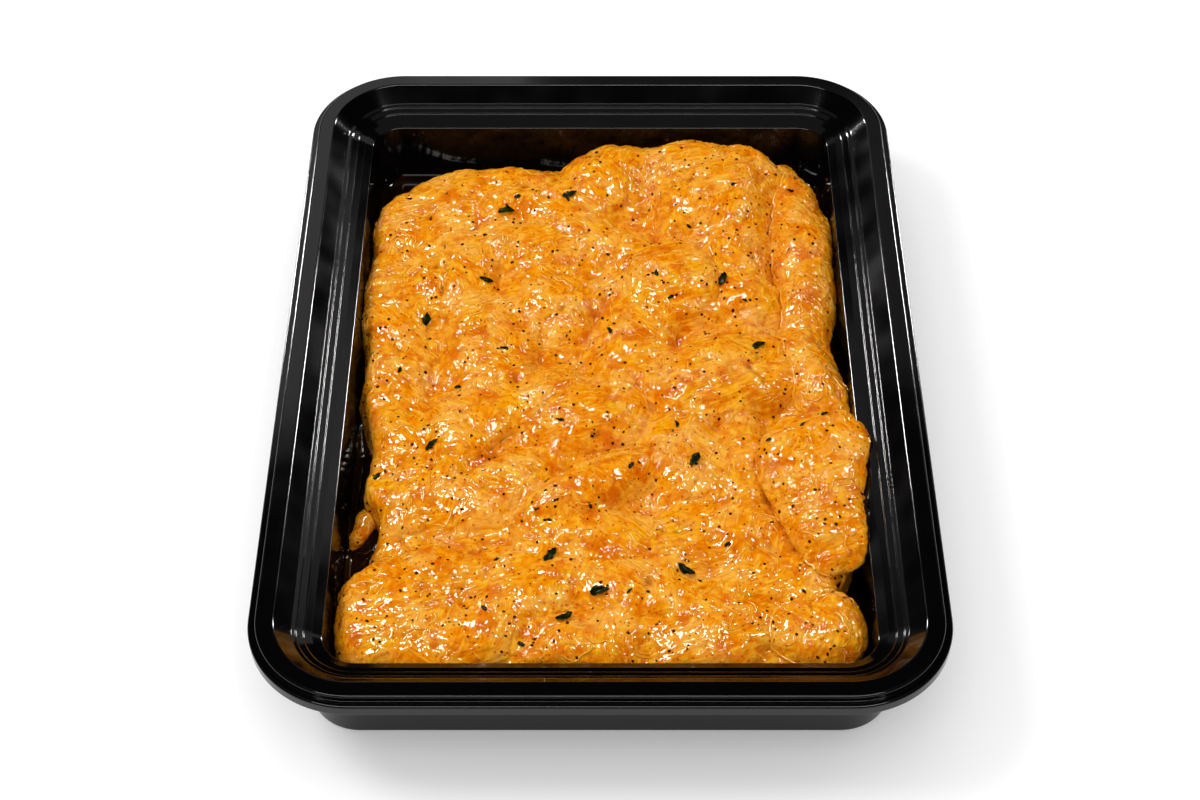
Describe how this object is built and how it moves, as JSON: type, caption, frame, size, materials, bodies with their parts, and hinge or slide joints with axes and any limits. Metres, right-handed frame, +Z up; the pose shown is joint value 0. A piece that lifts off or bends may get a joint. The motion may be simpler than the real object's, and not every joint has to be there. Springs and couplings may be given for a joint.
{
  "type": "meat tray pack",
  "caption": "Open rectangular plastic tray with a stepped rim, filled with a flat, uneven mass of raw chicken pieces in a herb and chilli marinade.",
  "frame": {"origin": "middle of the underside of the tray's base", "axes": "+Z up, +Y along the tray's length towards the end where the meat lies highest, +X across the tray to the right"},
  "size_m": [0.137, 0.187, 0.0242],
  "materials": {
    "tray": "black moulded polypropylene, glossy",
    "chicken": "raw chicken in an orange marinade, wet",
    "herbs": "dark dried herb flakes and cracked pepper",
    "marinade": "thin clear brown marinade, wet"
  },
  "bodies": {
    "root": {"tray": "tray", "chicken_mass": "chicken", "chicken_back_strip": "chicken", "chicken_side_strip": "chicken", "chicken_flap": "chicken", "chicken_fillet_tip": "chicken", "chicken_sliver": "chicken", "chicken_scrap": "chicken"}
  },
  "joints": []
}
